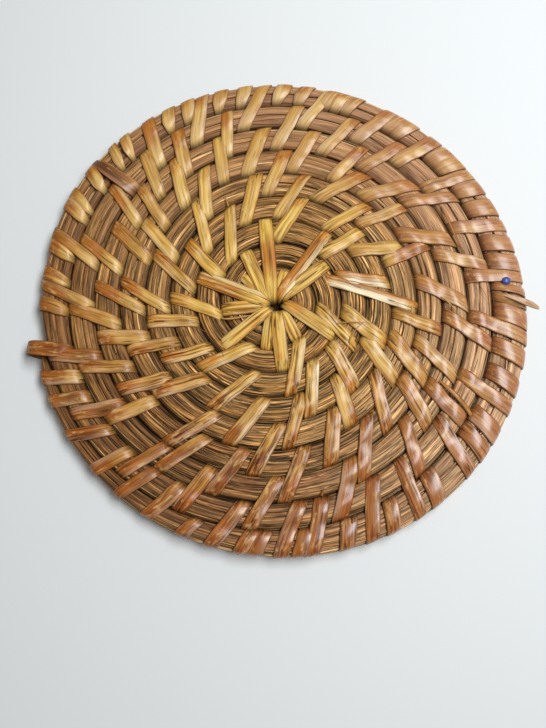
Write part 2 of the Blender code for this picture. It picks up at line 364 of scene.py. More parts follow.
# How far the shadow of the grooves reaches up a wrap, outside and inside
OUTER_SHADOW = 1.6 * MM
INNER_SHADOW = 2.0 * MM
# How gently the stain starts and stops along a wrap, and its pale edge starts across it
STAIN_START = 0.12
STAIN_STOP = 0.35
PALE_START = 0.3
# The stain underneath
UNDER_STAIN = 0.25

# What a wrap's look says unless it is given. pinch narrows its inner end, over pinch_reach, and
# outer_pinch its outer one. The fade smokes its outer half more than its inner one, and in places
# it is painted shade on one end with a lighter other end. The sheen at the ends makes those ends
# paler as a painted sheen, and parting is how far its pale edge starts from the middle, as a
# share of half its width.
PLAIN_LOOK = {
    "from_groove": True, "pinch": 0.0, "pinch_reach": 9 * MM, "outer_pinch": 0.0,
    "fade_and_painted_shade": 0.0, "haze_out": 0.0, "haze_in": 0.0, "parting": 0.45,
}


def make_band():
    """One closed band, the blank that each wrap of peel is laid from."""
    deselect()
    bpy.ops.mesh.primitive_torus_add(
        major_segments=BAND_STEPS, minor_segments=BAND_SIDES, major_radius=1.0, minor_radius=0.25
    )
    band = bpy.context.object
    band.name = "band"
    return band


def laid_wrap(band, outer, inner, width, boxy, rises, sags, shear, look):
    """A copy of the band laid round the coil, straight from the outer end to the inner one.

    outer and inner are the ends in plan. rises gives the height over the core's middle for shares
    of the way in. sags are the shares at which it crosses a groove. shear is the direction of the
    width in plan. look is what peel_look gives, with changes.
    """
    look = {**PLAIN_LOOK, **look}
    wrap = band.copy()
    wrap.data = band.data.copy()
    bpy.context.collection.objects.link(wrap)
    x, y, z = points_of(wrap.data).T
    turn = np.arctan2(y, x)
    side = np.arctan2(z, np.hypot(x, y) - 1.0)
    over = np.sin(turn) >= -1e-6

    outer, inner = np.array(outer), np.array(inner)
    length = np.linalg.norm(inner - outer)
    heading = (inner - outer) / length
    skew = max(LEAST_SKEW, abs(heading[0] * shear[1] - heading[1] * shear[0]))
    phase = random.uniform(0, TURN)

    def line(turn):
        share = (1 - powered(np.cos(turn), 2 / boxy)) / 2
        height = powered(np.sin(turn), 2 / boxy)
        rise = np.where(np.sin(turn) >= 0, rises(share), RISE_UNDER_CORE * rises(share) / RISE_OVER_CORE)
        sag = sum(SAG * np.exp(-(((share - at) * length / SAG_REACH) ** 2)) for at in sags)
        flat_stretch = np.abs(np.sin(turn)) > 0.3
        height = CORE_MIDDLE + height * (rise - sag * flat_stretch)
        plan = outer + heading * (share * length)[:, None]
        return np.concatenate([plan, height[:, None]], 1), share

    middle, share = line(turn)
    ahead = line(turn + 0.01)[0] - line(turn - 0.01)[0]
    aside = np.array([*shear, 0.0])
    normal = np.cross(aside, ahead)
    normal /= np.linalg.norm(normal, axis=1, keepdims=True)
    outward = np.sign(np.sum(normal * (middle - [*(outer + inner) / 2, CORE_MIDDLE]), 1))
    normal *= np.where(outward == 0, 1, outward)[:, None]

    across = powered(np.cos(side), FACE_POWER)
    skin = powered(np.sin(side), EDGE_POWER) * PEEL_THICKNESS / 2
    ends = smooth(0, END_SHARE, share) * smooth(0, END_SHARE, 1 - share)
    half = width / 2 * (0.92 + 0.08 * ends) * (1 + 0.03 * np.sin(5 * share + phase))
    half *= 1 - look["pinch"] * smooth(length - look["pinch_reach"], length, share * length)
    half *= 1 - look["outer_pinch"] * (1 - smooth(0, OUTER_PINCH_REACH, share * length))
    crown = PEEL_CROWN * (1 - across**2) * (0.4 + 0.6 * ends)
    tilt = look["twist"] * TWIST_RISE * across * np.sin(math.pi * np.clip(share, 0, 1)) * over
    bow = look["bow"] * MM * np.sin(math.pi * share)
    offset = across * half / skew + bow
    points = middle + aside * offset[:, None] + normal * (skin + crown + tilt + look["lift"])[:, None]
    points[:, 2] = np.maximum(points[:, 2], 0.02 * MM)
    put_points(wrap.data, points + [*HOLE, 0])

    whole_along, whole_across = 2 * (length + 2 * CORE_RISE), 4.0 * half.mean()
    along = (turn % TURN) / TURN * whole_along
    around = ((side + math.pi / 2) % TURN) / TURN * whole_across
    # No two wraps are cut from the same place of the strip
    seed = random.uniform(0, 3.0)
    put_lengths(wrap.data, along + seed, around + seed * 0.7, whole_along, whole_across)

    low, high = look["stain_from"], look["stain_to"]
    stain = smooth(low - STAIN_START, low + STAIN_START, share)
    stain = stain * (1 - smooth(high - STAIN_STOP / 2, high + STAIN_STOP / 2, share))
    parting, side = look["parting"], look["side"]
    far_side = smooth(parting - PALE_START, parting + PALE_START, -across * side) * (side != 0)
    # A painted sheen: paler outer ends at the right and paler inner ends at the back; it goes into cream
    # with the bleached edge
    haze = look["haze_out"] * (1 - share) ** 1.5 + look["haze_in"] * smooth(0.2, 0.8, share)
    bleached = look["cream"] * far_side * smooth(0.02, 0.18, share) * smooth(0.02, 0.18, 1 - share)
    outer_shadow = look["from_groove"] * (1 - smooth(0, OUTER_SHADOW, share * length))
    inner_shadow = 1 - smooth(0, INNER_SHADOW, (1 - share) * length)
    put_values(wrap.data, {
        "stain": look["stain"] * stain * (1 - far_side) * over + UNDER_STAIN * (1 - over),
        "cream": bleached + haze,
        "edge": np.abs(across),
        "smoke": look["smoke"] + look["fade_and_painted_shade"] * (0.5 - share),
        "deep": np.maximum(outer_shadow, inner_shadow) * over,
        "copper": look["copper"] * (0.75 + 0.4 * np.abs(2 * share - 1) ** 1.5),
        **{name: look[name] for name in ("golden", "worn", "cracks", "shine")},
    })
    return wrap


def near(angle, degrees, power=1.0):
    """1 on the side of the mat at so many degrees, and 0 on the other side.

    0 degrees is the right side, 90 the back, 180 the left side and 270 the front.
    """
    return (0.5 + 0.5 * np.cos(angle - math.radians(degrees))) ** power


def varied(share, less, more):
    """A share that chance makes so much less or more, but not under 0 or over 1."""
    return float(np.clip(share + random.uniform(-less, more), 0, 1))


def peel_look(angle, radius):
    """How smoked, stained, coppery, bleached and worn the peel is by its place.

    It is golden in the middle and at the back, orange at the heads of the stitches on the left,
    smoked at the rim's left, copper-brown at the rim's front right, and dry and cracked in front.
    It also paints a pale sheen on the wraps' ends at the right and the back, and painted shade on
    the wraps' tails at the right.
    """
    share = radius / RIM_RADIUS
    outside = float(smooth(0.3, 1.0, share))
    front = near(angle, 262, 1.5)
    smoke = 0.06 + 0.10 * near(angle, 270, 2) + outside * (
        0.14 + 0.10 * front + 0.36 * near(angle, 200, 4) + 0.18 * near(angle, 335, 2)
    )
    stain = 0.12 + 0.62 * near(angle, 235, 1.5) + 0.3 * near(angle, 50, 3) + 0.2 * near(angle, 310, 3)
    copper = outside * (0.95 * near(angle, 310, 0.7) + 0.05)
    shine = 0.08 + (1.0 * near(angle, 318, 1.5) + 0.45 * near(angle, 120, 2)) * (0.25 + 0.75 * outside)
    look = {
        "smoke": varied(smoke, 0.16, 0.18),
        "stain": varied(stain, 0.3, 0.32),
        "copper": varied(copper, 0.2, 0.2),
        "golden": float(1 - smooth(0.2, 0.65, share) * (1 - 0.5 * near(angle, 125, 3))),
        "stain_from": -0.2,
        "stain_to": random.uniform(0.2, 0.5) * (0.6 + 0.4 * outside) + 0.2 * near(angle, 200, 2),
        # At the right the fade is turned round: painted shade on the tails, which slope away from the
        # light, and lighter heads
        "fade_and_painted_shade": random.uniform(0.0, 0.3) - 0.5 * near(angle, 10, 3) + 0.25 * near(angle, 135, 2),
        # Painted sheen, a painted reflection of the light: paler outer ends at the right and paler inner
        # ends at the back
        "haze_out": 0.40 * near(angle, 15, 4) * outside,
        "haze_in": 0.40 * near(angle, 90, 3) * outside,
        "side": random.choice((-1, 0, 0, 1)),
        "cream": random.uniform(0.0, 0.45),
        "shine": varied(shine, 0.15, 0.15),
        "worn": random.random() ** 1.5 * (0.25 + 0.75 * near(angle, 262)),
        "cracks": min(1.0, random.uniform(0.2, 0.9) * (0.15 + 0.85 * front) + 0.34 * (1 - outside)),
        "twist": random.uniform(-0.6, 0.6),
        "bow": random.uniform(-0.45, 0.45),
        "lift": random.uniform(0.04, 0.22) * MM,
    }
    if front > 0.5 and look["side"] < 1:
        # In front most stitches are bleached along their right edges, less so near the rim
        look["side"] = -1
        look["cream"] += 0.48 - 0.42 * outside
    return look


def flat_rises(share):
    return RISE_OVER_CORE + 0 * share


def tail_rises(outer_width, crossing):
    """The height of a wrap that starts over the thin end of the coil."""
    thin = min(1.0, outer_width / TAIL_FULL_WIDTH) ** TAIL_THINNING
    low = RISE_OVER_CORE * thin
    return lambda share: low + (RISE_OVER_CORE - low) * smooth(0.1, crossing + 0.08, share)


def laid_stitch(band, groove, start, end, rounds, **changes):
    """One wrap of peel from a groove, or from the rim, over one or two rounds.

    changes are put over the look that its place gives it, with its width among them.
    """
    from_rim = on_rim(groove, start)
    edge_in = groove_radius(groove - rounds, end)
    edge_out = groove_radius(groove, start)
    if from_rim:
        edge_out = rim_radius(start) - PEEL_THICKNESS / 2 - PEEL_CROWN
    outer, inner = polar(edge_out, start), polar(edge_in, end)
    middle = (start + end) / 2
    look = peel_look(middle, (edge_out + edge_in) / 2)
    width = PEEL_WIDTH * random.uniform(0.87, 1.1) * (1 + 0.08 * near(middle, 345, 2))
    look.update(width=width, from_groove=not from_rim)
    if from_rim:
        # Painted shade on the heads of the rim wraps at the left, where they turn down at the rim, and
        # lighter tails
        look["fade_and_painted_shade"] += 0.9 * near(middle, 200, 4)
    look.update(changes)
    sags, rises = [], flat_rises
    if rounds == 2:
        crossing = groove_radius(groove - 1, middle)
        sags = [(edge_out - crossing) / (edge_out - edge_in)]
    if from_rim:
        crossing = sags[0] if sags else 1.0
        outer_width = rim_radius(start) - PEEL_THICKNESS - groove_radius(groove - 1, start)
        rises = tail_rises(float(outer_width), crossing)
    shear = (-math.sin(middle), math.cos(middle))
    boxy = STITCH_BOXY if rounds == 2 else SHORT_WRAP_BOXY
    return laid_wrap(band, outer, inner, look["width"], boxy, rises, sags, shear, look)


def square_to(outer, inner):
    """The direction of the width in plan of a wrap that is straight from outer to inner."""
    along, aside = (inner - outer) / np.linalg.norm(inner - outer)
    return np.array([-aside, along])


def laid_leg(band, leg):
    """One leg of the star, from its groove straight down into the hole."""
    reach, inner = leg.reach * MM, np.array([leg.inner_x, leg.inner_y]) * MM
    outer = polar(reach, math.radians(leg.angle))
    climb = LEG_CLIMB / reach

    def rises(share):
        return RISE_OVER_CORE + LEG_STEP * leg.level * smooth(1 - climb, 1 - climb * 0.4, share)

    look = {
        "smoke": leg.smoke, "stain": leg.stain, "stain_from": leg.stain_from, "stain_to": leg.stain_to,
        "side": leg.side, "cream": leg.cream, "golden": 1.0, "copper": 0.0, "shine": 0.05,
        "worn": 0.4 * random.random(), "cracks": 0.35 + 0.4 * random.random(),
        "twist": leg.twist, "bow": 0.0, "lift": 0.05 * MM, "pinch": 0.25,
    }
    shear = -square_to(outer, inner)
    return laid_wrap(band, outer, inner, leg.width * MM, STAR_BOXY, rises, [], shear, look)


def laid_long_stitch(band):
    """The stitch that spans more than three rounds, beside the star."""
    groove, start, last, end = LONG_STITCH
    start, end = math.radians(start), math.radians(end)
    outer, inner = polar(groove_radius(groove, start), start), polar(groove_radius(last, end), end)
    look = peel_look(start, 30 * MM)
    look.update(
        smoke=0.12, stain=0.95, stain_to=1.2, golden=0.7, copper=0.0, side=-1, cream=1.75, parting=0.0,
        worn=0.3, cracks=0.6, shine=0.3, twist=0.5,
    )
    shear = square_to(outer, inner)
    wrap = laid_wrap(band, outer, inner, LONG_STITCH_WIDTH, STAR_BOXY, flat_rises, [0.3, 0.6], shear, look)
    wrap.name = "peel_long_stitch"
    return wrap


def laid_end_loop(band):
    """The last turn of the peel round the coil's tip, which stands out from the rim."""
    outer_angle, outer_radius, inner_angle, inner_radius = END_LOOP
    outer = polar(outer_radius, math.radians(outer_angle))
    inner = polar(inner_radius, math.radians(inner_angle))
    look = peel_look(math.radians(outer_angle), RIM_RADIUS)
    look.update(
        smoke=0.85, stain=0.45, stain_to=1.2, golden=0.0, copper=0.35, side=0, haze_out=0.0, haze_in=0.0,
        worn=0.6, cracks=0.5, shine=0.3, twist=-0.7, pinch=0.1, lift=0.3 * MM,
    )
    shear = square_to(outer, inner)
    wrap = laid_wrap(band, outer, inner, END_LOOP_WIDTH, END_LOOP_BOXY, flat_rises, [], shear, look)
    wrap.name = "peel_end_loop"
    return wrap


def make_peel(material):
    band = make_band()
    names = ("rim", "first", "second", "third", "fourth", "fifth", "sixth")
    for name, turn in zip(names, TURNS):
        wraps = [
            laid_stitch(
                band, turn.groove, math.radians(start), math.radians(end), 2,
                **ODD_STITCHES.get((turn.groove, start), {}),
            )
            for start, end in zip(turn.starts, turn.ends)
        ]
        finished(joined(wraps, "peel_stitches_" + name), material)
    wraps = []
    for degrees in SHORT_WRAPS:
        start = math.radians(degrees)
        groove = 2 if start > TAIL_ANGLE else 1
        changes = {
            "width": WRAP_WIDTH * (1 + 0.36 * near(start, 5, 2)) * random.uniform(0.92, 1.08),
            "pinch": 0.45 * near(start, 130, 2), "pinch_reach": 5 * MM, **ODD_WRAPS.get(degrees, {}),
        }
        wraps.append(laid_stitch(band, groove, start, start + WRAP_LEAN, 1, **changes))
    finished(joined(wraps, "peel_short_wraps"), material)
    finished(joined([laid_leg(band, leg) for leg in LEGS], "peel_star"), material)
    finished(laid_long_stitch(band), material)
    finished(laid_end_loop(band), material)
    bpy.data.objects.remove(band)


# The core

def core_line():
    """The bundle's middle line: continuous angle, length so far, radius, half width and half height."""
    tip = TAIL_ANGLE - 2 * TURN + math.radians(1)
    angle = [tip]
    while angle[-1] < CORE_END:
        radius = groove_radius(0, angle[-1]) - ROUND_PITCH / 2
        angle.append(angle[-1] + min(CORE_STEP / max(radius, 2 * MM), math.radians(7)))
    angle = np.array(angle)
    covered = smooth(TAIL_ANGLE - TURN - math.radians(12), TAIL_ANGLE - TURN, angle)
    edge = rim_radius(angle) - PEEL_THICKNESS
    outer = edge + (groove_radius(0, angle) - edge) * covered
    inner = np.maximum(groove_radius(0, angle) - ROUND_PITCH, HOLE_RADIUS)
    radius = (outer + inner) / 2
    half_width = (outer - inner) / 2 + CORE_OVERLAP
    length = np.concatenate([[0], np.cumsum(np.diff(angle) * (radius[1:] + radius[:-1]) / 2)])
    tip_share = np.sqrt(smooth(0, TAIL_TIP, length + 0.8 * MM))
    half_width = half_width * tip_share
    half_height = CORE_RISE * np.minimum(1, half_width / (ROUND_PITCH / 2)) ** TAIL_THINNING
    return angle, length, radius, half_width, half_height


# The waves of a strand: three round the bundle, two in and out, and one of its width. Each is in
# millimetres for a radian.
STRAND_WAVES = (31, 13, 90, 19, 47, 23)
# A power that makes sections a little boxier than an ellipse
SECTION_POWER = 0.8


def laid_strand(line, place, width, thickness, inset, sides, wander, first=0.0):
    """One strand of the core, from share first of the bundle's length to its end in the middle.

    place is the strand's angle round the bundle's section, 0 at its outer side and 90 degrees on
    top. inset is how deep its middle lies, and wander how far it strays from its place.
    """
    low = int(first * (len(line[0]) - 1))
    angle, length, radius, half_width, half_height = (row[low:] for row in line)
    count = len(angle)
    strand, index, turn = new_tube(count, sides)

    sway = [np.sin(length / MM / wave + random.uniform(0, TURN)) for wave in STRAND_WAVES]
    spot = place + wander * (0.5 * sway[0] + 0.35 * sway[1] + 0.5 * sway[2])
    depth = inset + 0.10 * MM * (sway[3] + sway[4])
    taper = np.sqrt(np.clip(np.minimum(np.arange(count), np.arange(count)[::-1]) / 3.0, 0, 1))
    half_wide = width / 2 * np.minimum(1, half_width / (ROUND_PITCH / 2)) * (1 + 0.18 * sway[5]) * taper
    half_thick = thickness / 2 * taper

    out = powered(np.cos(spot), SECTION_POWER) * (half_width - depth)
    up = powered(np.sin(spot), SECTION_POWER) * (half_height - depth)
    slope = np.arctan2(np.sin(spot) / half_height, np.cos(spot) / half_width)
    normal_out, normal_up = np.cos(slope), np.sin(slope)
    across = powered(np.cos(turn), SECTION_POWER) * half_wide[index]
    skin = powered(np.sin(turn), SECTION_POWER) * half_thick[index]
    reach = radius[index] + out[index] + normal_out[index] * skin - normal_up[index] * across
    height = CORE_MIDDLE + up[index] + normal_up[index] * skin + normal_out[index] * across
    plan = polar(reach, angle[index]) + HOLE
    put_points(strand.data, np.concatenate([plan, height[:, None]], 1))

    seed = random.uniform(0, 5.0)
    share = radius[index] / RIM_RADIUS
    front, left, back, right = (near(angle[index], degrees) for degrees in (258, 185, 322, 20))
    sideways = np.abs(np.cos(spot[index])) * (np.sin(spot[index]) > -0.2)
    inside_rim = reach < rim_radius(angle[index]) - 2.5 * MM
    # Smoked in front, and painted light at the front right: the outer strands there are made lighter where
    # the light falls straight on them
    smoke = smooth(0.3, 0.65, share) * front**3 - 1.3 * smooth(0.1, 0.5, share) * back**3
    crisp = np.maximum(front * (1 - 0.4 * smooth(0.6, 1.0, share)), 1 - smooth(0.3, 0.8, share))
    put_values(strand.data, {
        "tone": random.uniform(0, 1),
        # Painted shadow in the grooves between rounds, weaker at the front right where the light reaches
        # into them
        "deep": smooth(0.55, 0.92, sideways) * inside_rim * (1 - 0.25 * back**2),
        "smoke": smoke + 0.7 * smooth(0.7, 0.95, share) * left**4,
        "grey": right * np.clip((share - 0.4) / 0.5, 0, 1),
        "golden": 1 - smooth(0.25, 0.75, share),
        "edge": np.abs(np.cos(turn)),
        "cracks": 0.2 + 0.75 * crisp,
    })
    close_tube(strand, length, 2 * width, seed)
    return strand


def make_core(material):
    line = core_line()
    shares = np.array([random.uniform(0.55, 1.6) for _ in range(CORE_STRANDS)])
    edges = np.concatenate([[0], np.cumsum(shares)]) / shares.sum() * TURN
    top, under = [], []
    for low, high in zip(edges[:-1], edges[1:]):
        place = (low + high) / 2
        width = (high - low) / TURN * CORE_GIRTH * STRAND_OVERLAP
        inset = random.uniform(0.45, 0.72) * MM
        strand = laid_strand(line, place, width, STRAND_THICKNESS, inset, sides=8, wander=0.13)
        (top if math.sin(place) > 0 else under).append(strand)
    # The bundle's heart, which fills it between the strands
    under.append(laid_strand(line, math.pi / 2, HEART_WIDTH, HEART_THICKNESS, CORE_RISE, sides=8, wander=0))
    finished(joined(top, "core_strands_top"), material)
    finished(joined(under, "core_strands_under"), material)
    # Fine strands on top: seven that stray along the whole coil, and twelve wider ones in its middle
    fine = []
    for i in range(7):
        place = math.radians(28 + 19 * i)
        first = random.uniform(0.0, 0.08)
        width = random.uniform(0.5, 0.9) * MM
        fine.append(laid_strand(line, place, width, 0.5 * MM, 0.16 * MM, sides=4, wander=0.4, first=first))
    for i in range(12):
        place = math.radians(22 + 12.5 * i + random.uniform(-3, 3))
        width = random.uniform(0.6, 1.0) * MM
        inset = random.uniform(0.02, 0.2) * MM
        first = random.uniform(0.56, 0.66)
        fine.append(laid_strand(line, place, width, 0.7 * MM, inset, sides=6, wander=0.12, first=first))
    finished(joined(fine, "core_fine_strands"), material)
    finished(core_start(), material)


def core_start():
    """The bundle's first bend, which closes the hole from below."""
    deselect()
    bpy.ops.mesh.primitive_uv_sphere_add(
        segments=20, ring_count=10, radius=1.0, location=(*HOLE, 2.2 * MM),
        scale=(3.6 * MM, 3.2 * MM, 1.7 * MM),
    )
    bpy.ops.object.transform_apply(location=True, rotation=True, scale=True)
    start = bpy.context.object
    start.name = "core_start"
    start.data.uv_layers[0].name = "lengths"
    # Painted shade: the bend is made as dark as the shadow inside the hole
    put_values(start.data, {
        "tone": 0.8, "smoke": 1.0, "grey": 0.0, "golden": 0.0, "cracks": 0.6, "edge": 0.5, "deep": 1.0,
    })
    return start


# Loose ends

def place_in_mat(degrees, radius, height):
    """A point by its angle and its millimetres from the hole and from the table."""
    x, y = polar(radius * MM, math.radians(degrees)) + HOLE
    return x, y, height * MM


def laid_sliver(points, widths):
    """A loose fibre or a split end of peel along a smooth line, flat side up and pointed at its tips."""
    count = 21
    tube, index, turn = new_tube(count, 6)
    knots = np.array([place_in_mat(*point) for point in points])
    last = len(points) - 1
    at = np.linspace(0, last, count)
    line = np.stack([np.polyval(np.polyfit(np.arange(last + 1), row, last), at) for row in knots.T], 1)
    ahead = np.gradient(line, axis=0)
    aside = np.cross(ahead, (0, 0, 1))
    aside /= np.linalg.norm(aside, axis=1, keepdims=True)
    normal = np.cross(aside, ahead)
    normal /= np.linalg.norm(normal, axis=1, keepdims=True)
    half = np.interp(at, np.linspace(0, last, len(widths)), widths) / 2
    half_thick = np.minimum(SLIVER_THICKNESS / 2, half)
    across = np.cos(turn) * half[index]
    skin = np.sin(turn) * half_thick[index]
    put_points(tube.data, line[index] + aside[index] * across[:, None] + normal[index] * skin[:, None])
    length = np.concatenate([[0], np.cumsum(np.linalg.norm(np.diff(line, axis=0), axis=1))])
    close_tube(tube, length, 2 * max(widths))
    return tube


def make_loose_ends(material):
    slivers = []
    for sliver in SLIVERS:
        slivers.append(laid_sliver(sliver.points, [width * MM for width in sliver.widths]))
        put_values(slivers[-1].data, {
            "smoke": sliver.smoke, "stain": sliver.stain, "golden": 0.0, "copper": 0.7, "worn": 0.3,
            "cream": sliver.cream, "cracks": 0.5, "edge": 0.0, "deep": 0.0, "shine": 0.3,
        })
    finished(joined(slivers, "peel_loose_ends"), material)


def make_drop(material):
    deselect()
    bpy.ops.mesh.primitive_uv_sphere_add(
        segments=24, ring_count=12, radius=DROP_RADIUS, location=place_in_mat(*DROP), scale=(1, 0.9, 0.6)
    )
    bpy.ops.object.transform_apply(location=True, rotation=True, scale=True)
    drop = bpy.context.object
    drop.name = "paint_drop"
    finished(drop, material)


# Materials

def node(tree, kind, inputs=None, stops=(), **settings):
    """Adds a node with its settings and colour stops, sets or links its inputs, and gives its output."""
    made = tree.nodes.new("ShaderNode" + kind)
    for name, value in settings.items():
        setattr(made, name, value)
    for name, value in (inputs or {}).items():
        if isinstance(value, bpy.types.NodeSocket):
            tree.links.new(value, made.inputs[name])
        else:
            made.inputs[name].default_value = value
    if stops:
        elements = made.color_ramp.elements
        while len(elements) < len(stops):
            elements.new(0.5)
        for element, (at, colour) in zip(elements, stops):
            element.position = at
            element.color = linear(colour) if isinstance(colour, str) else [colour] * 3 + [1]
    return next(output for output in made.outputs if output.enabled)


def start_material(name, constants):
    """A new material, with these constants on its shader's own sockets."""
    material = bpy.data.materials.new(name)
    material.use_nodes = True
    shader = material.node_tree.nodes["Principled BSDF"]
    for socket, value in constants.items():
        shader.inputs[socket].default_value = value
    return material


def streaks(tree, lengths, long, wide, detail=3.0, rough=0.6):
    """Noise drawn out along the strip. long and wide are the size of its streaks in millimetres."""
    scale = (1 / (long * MM), 1 / (wide * MM), 1)
    drawn = node(tree, "Mapping", {"Vector": lengths, "Scale": scale})
    return node(tree, "TexNoise", {"Vector": drawn, "Scale": 1.0, "Detail": detail, "Roughness": rough})


def rattan_peel():
    """Smoked rattan peel, split and oiled: a hard satin skin with long grain, a stain in streaks at
    the head of each stitch, fine cracks, dark cut edges with painted contact shade along them, and
    pale streaks where the skin is rubbed."""
    material = start_material("rattan peel", {
        "Metallic": 0.0, "IOR": 1.45, "Specular IOR Level": 0.18, "Coat Roughness": 0.25,
    })
    tree = material.node_tree
    shader = tree.nodes["Principled BSDF"]
    lengths = node(tree, "UVMap", uv_map="lengths")
    names = ("smoke", "stain", "golden", "copper", "worn", "cream", "cracks", "edge", "deep", "shine")
    look = {name: node(tree, "Attribute", attribute_name=name) for name in names}

    # Grain 0.34 mm wide and 14 mm long, drawn coarser than the real fibres so that it shows
    grain = streaks(tree, lengths, 14, 0.34, 2.0, 0.6)
    # Bands of lighter and darker fibre, 1.3 mm wide and 24 mm long
    bands = streaks(tree, lengths, 24, 1.3, 2.5, 0.5)
    # Patches in which the stain took or the skin bleached, 2 mm wide and 7 mm long
    patches = streaks(tree, lengths, 7, 2.0, 3.0, 0.55)
    # Cracks and pale ridges: the darkest and lightest parts of streaks 0.42 mm wide and 10 mm long
    cracks = streaks(tree, lengths, 10, 0.42, 2.0, 0.5)
    # Rubbed flecks 0.7 mm wide and 3.6 mm long
    flecks = streaks(tree, lengths, 3.6, 0.7, 3.0, 0.6)
    # Lumps of the skin, 2.4 mm wide and 7 mm long, which break up its shine
    lumps = streaks(tree, lengths, 7, 2.4, 0.5, 0.5)

    # From golden to smoked, by the bands and by how smoked the place is
    shade = node(tree, "Math", {0: bands, 1: 1.8, 2: look["smoke"]}, operation="MULTIPLY_ADD")
    shade = node(tree, "Math", {0: shade, 1: 0.81}, operation="SUBTRACT")
    body = node(tree, "ValToRGB", {"Fac": shade}, (
        (0.0, "#E0BC72"), (0.25, "#CC9D4C"), (0.5, "#B67E3A"), (0.75, "#905C2B"), (1.0, "#683D1D"),
    ))
    gilt = node(tree, "Math", {0: look["golden"], 1: 0.85}, operation="MULTIPLY")
    body = node(tree, "Mix", {"Factor": gilt, "A": body, "B": linear("#DEB656")}, data_type="RGBA")
    red = node(tree, "Math", {0: look["copper"], 1: 0.70}, operation="MULTIPLY")
    body = node(tree, "Mix", {"Factor": red, "A": body, "B": linear("#9A5427")}, data_type="RGBA")
    # The orange stain, where it took
    took = node(tree, "Math", {0: patches, 1: look["stain"]}, operation="ADD")
    took = node(tree, "ValToRGB", {"Fac": took}, ((0.60, 0.0), (1.15, 0.95)))
    orange = node(
        tree, "Mix", {"Factor": look["golden"], "A": linear("#A45E22"), "B": linear("#BE7A2A")},
        data_type="RGBA",
    )
    body = node(tree, "Mix", {"Factor": took, "A": body, "B": orange}, data_type="RGBA")
    # A soft pale haze, which is a painted sheen where it comes from the sheen at the wraps' ends and
    # bleaching where it comes from a pale edge, and past some strength a bleached streak with a ragged edge
    haze = node(tree, "Math", {0: patches, 1: 1.2}, operation="MULTIPLY")
    haze = node(tree, "Math", {0: haze, 1: look["cream"]}, operation="MULTIPLY")
    haze = node(tree, "Math", {0: haze, 1: 0.38}, operation="MINIMUM")
    pale = node(tree, "Math", {0: look["cream"], 1: 0.5}, operation="MULTIPLY")
    pale = node(tree, "Math", {0: patches, 1: 0.6, 2: pale}, operation="MULTIPLY_ADD")
    pale = node(tree, "ValToRGB", {"Fac": pale}, ((0.66, 0.0), (0.73, 0.88)))
    pale = node(tree, "Math", {0: haze, 1: pale}, operation="MAXIMUM", use_clamp=True)
    cream = node(
        tree, "Mix", {"Factor": look["golden"], "A": linear("#E6CDB6"), "B": linear("#EAD9AE")},
        data_type="RGBA",
    )
    # The skin is more orange towards its cut edges, but not where it is bleached
    flanks = node(tree, "ValToRGB", {"Fac": look["edge"]}, ((0.45, 0.0), (0.95, 0.55)))
    stained = node(tree, "Mix", {"Factor": flanks, "A": body, "B": linear("#9E5E22")}, data_type="RGBA")
    stained = node(tree, "Mix", {"Factor": pale, "A": stained, "B": cream}, data_type="RGBA")
    # The grain, stronger where the peel is cracked
    lines = node(tree, "ValToRGB", {"Fac": grain}, (
        (0.34, "#70492A"), (0.43, "#D0BA9C"), (0.52, 1.0), (0.64, 1.45),
    ))
    rough_share = node(tree, "Math", {0: look["cracks"], 1: 0.8, 2: 0.2}, operation="MULTIPLY_ADD")
    grained = node(
        tree, "Mix", {"Factor": rough_share, "A": stained, "B": lines}, data_type="RGBA",
        blend_type="MULTIPLY",
    )
    # Pale ridges between the cracks, pale fibre with a painted highlight along each, and the dark cracks
    ridges = node(tree, "Math", {0: flecks, 1: 0.5, 2: cracks}, operation="MULTIPLY_ADD")
    ridges = node(tree, "Math", {0: look["cracks"], 1: 0.06, 2: ridges}, operation="MULTIPLY_ADD")
    ridges = node(tree, "ValToRGB", {"Fac": ridges}, ((0.86, 0.0), (0.98, 0.6)))
    ridge_pale_and_highlight = node(
        tree, "Mix", {"Factor": look["golden"], "A": linear("#D2A266"), "B": linear("#E8CC90")},
        data_type="RGBA",
    )
    ridged = node(tree, "Mix", {"Factor": ridges, "A": grained, "B": ridge_pale_and_highlight}, data_type="RGBA")
    split = node(tree, "Math", {0: look["cracks"], 1: -0.12, 2: cracks}, operation="MULTIPLY_ADD")
    split = node(tree, "ValToRGB", {"Fac": split}, ((0.25, 0.85), (0.31, 0.0)))
    cracked = node(tree, "Mix", {"Factor": split, "A": ridged, "B": linear("#54300F")}, data_type="RGBA")
    # Flecks where the skin is rubbed off
    bare = node(tree, "Math", {0: look["worn"], 1: 0.10, 2: flecks}, operation="MULTIPLY_ADD")
    bare = node(tree, "ValToRGB", {"Fac": bare}, ((0.60, 0.0), (0.74, 0.7)))
    rubbed = node(tree, "Mix", {"Factor": bare, "A": cracked, "B": linear("#D9B478")}, data_type="RGBA")
    # Dark cut edges with painted contact shade along them, and the painted shadow of the grooves
    edge_dark_and_contact_shade = node(tree, "ValToRGB", {"Fac": look["edge"]}, ((0.88, 1.0), (0.98, 0.38)))
    edged = node(
        tree, "Mix", {"Factor": 1.0, "A": rubbed, "B": edge_dark_and_contact_shade}, data_type="RGBA", blend_type="MULTIPLY",
    )
    dusk = node(tree, "ValToRGB", {"Fac": look["deep"]}, ((0.0, 1.0), (1.0, 0.38)))
    shaded = node(
        tree, "Mix", {"Factor": 1.0, "A": edged, "B": dusk}, data_type="RGBA", blend_type="MULTIPLY",
    )
    tree.links.new(shaded, shader.inputs["Base Color"])
